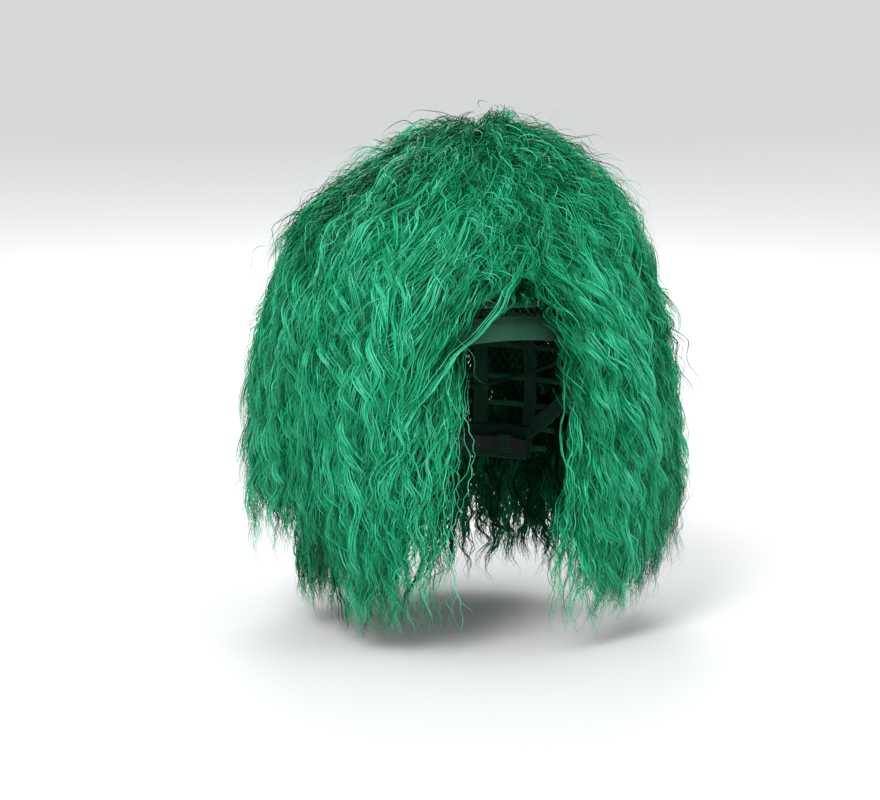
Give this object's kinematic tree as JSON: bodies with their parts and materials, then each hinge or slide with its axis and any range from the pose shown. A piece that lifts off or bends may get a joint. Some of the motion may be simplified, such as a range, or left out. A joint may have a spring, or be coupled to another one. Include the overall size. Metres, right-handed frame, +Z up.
{
  "type": "costume wig",
  "caption": "Full frizzy shoulder-short costume wig: crimped hair wefts on an elastic net cap with hook-in size straps and folding ear tabs.",
  "frame": {"origin": "middle of the head space, at the wearer's eye level", "axes": "+Z up toward the crown, -Y toward the face opening, +X toward the wearer's left"},
  "size_m": [0.2772, 0.2645, 0.319],
  "materials": {
    "hair_fibre": "satin",
    "weft_thread": "matte",
    "elastic_net": "matte",
    "elastic_band": "matte",
    "webbing": "matte",
    "tab_lace": "matte",
    "hook_plastic": "gloss",
    "spring_stay": "satin",
    "label_satin": "satin",
    "sewing_thread": "satin"
  },
  "bodies": {
    "wig": {"bar_tacks": "sewing_thread", "care_label": "label_satin", "crown_coil": "weft_thread", "crown_hair_back_inner_left": "hair_fibre", "crown_hair_back_inner_right": "hair_fibre", "crown_hair_back_outer_left": "hair_fibre", "crown_hair_back_outer_right": "hair_fibre", "crown_hair_front_left": "hair_fibre", "crown_hair_front_right": "hair_fibre", "crown_hair_side_left": "hair_fibre", "crown_hair_side_right": "hair_fibre", "crown_net": "elastic_net", "ear_arch_left": "elastic_band", "ear_arch_right": "elastic_band", "face_curtain_left": "hair_fibre", "face_curtain_right": "hair_fibre", "front_band": "elastic_band", "loop_ladder_left": "webbing", "loop_ladder_right": "webbing", "mid_hair_back_inner_left": "hair_fibre", "mid_hair_back_inner_right": "hair_fibre", "mid_hair_back_outer_left": "hair_fibre", "mid_hair_back_outer_right": "hair_fibre", "mid_hair_side_left": "hair_fibre", "mid_hair_side_right": "hair_fibre", "nape_band": "elastic_band", "nape_hair_back_inner_left": "hair_fibre", "nape_hair_back_inner_right": "hair_fibre", "nape_hair_back_outer_left": "hair_fibre", "nape_hair_back_outer_right": "hair_fibre", "nape_hair_side_left": "hair_fibre", "nape_hair_side_right": "hair_fibre", "ribbon_centre": "elastic_band", "ribbon_inner_left": "elastic_band", "ribbon_inner_right": "elastic_band", "ribbon_outer_left": "elastic_band", "ribbon_outer_right": "elastic_band", "strap_sleeve_left": "webbing", "strap_sleeve_right": "webbing", "weft_track_1": "weft_thread", "weft_track_2": "weft_thread", "weft_track_3": "weft_thread", "weft_track_4": "weft_thread", "weft_track_5": "weft_thread", "weft_track_6": "weft_thread", "weft_track_7": "weft_thread", "weft_track_8": "weft_thread"},
    "strap_left": {"size_strap_left": "elastic_band"},
    "strap_right": {"size_strap_right": "elastic_band"},
    "hook_left": {"strap_hook_left": "hook_plastic"},
    "hook_right": {"strap_hook_right": "hook_plastic"},
    "tab_left": {"ear_tab_left": "tab_lace", "ear_stay_left": "spring_stay"},
    "tab_right": {"ear_tab_right": "tab_lace", "ear_stay_right": "spring_stay"}
  },
  "joints": [
    {"name": "size_strap_left_adjust", "type": "hinge", "parent": "wig", "child": "strap_left", "pos_m": [0, 0.026, -0.041], "axis": [0, 0, 1], "range_deg": [0, 12]},
    {"name": "strap_hook_left_unhook", "type": "hinge", "parent": "strap_left", "child": "hook_left", "pos_m": [0.02905, 0.07632, -0.041], "axis": [0, 0, 1], "range_deg": [0, 70]},
    {"name": "ear_tab_left_fold", "type": "hinge", "parent": "wig", "child": "tab_left", "pos_m": [0.0769, -0.02, -0.0025], "axis": [0, -1, 0], "range_deg": [-25, 8], "stiffness_Nm_per_rad": 0.0001},
    {"name": "size_strap_right_adjust", "type": "hinge", "parent": "wig", "child": "strap_right", "pos_m": [0, 0.026, -0.041], "axis": [0, 0, -1], "range_deg": [0, 12]},
    {"name": "strap_hook_right_unhook", "type": "hinge", "parent": "strap_right", "child": "hook_right", "pos_m": [-0.02905, 0.07632, -0.041], "axis": [0, 0, -1], "range_deg": [0, 70]},
    {"name": "ear_tab_right_fold", "type": "hinge", "parent": "wig", "child": "tab_right", "pos_m": [-0.0769, -0.02, -0.0025], "axis": [0, 1, 0], "range_deg": [-25, 8], "stiffness_Nm_per_rad": 0.0001}
  ]
}
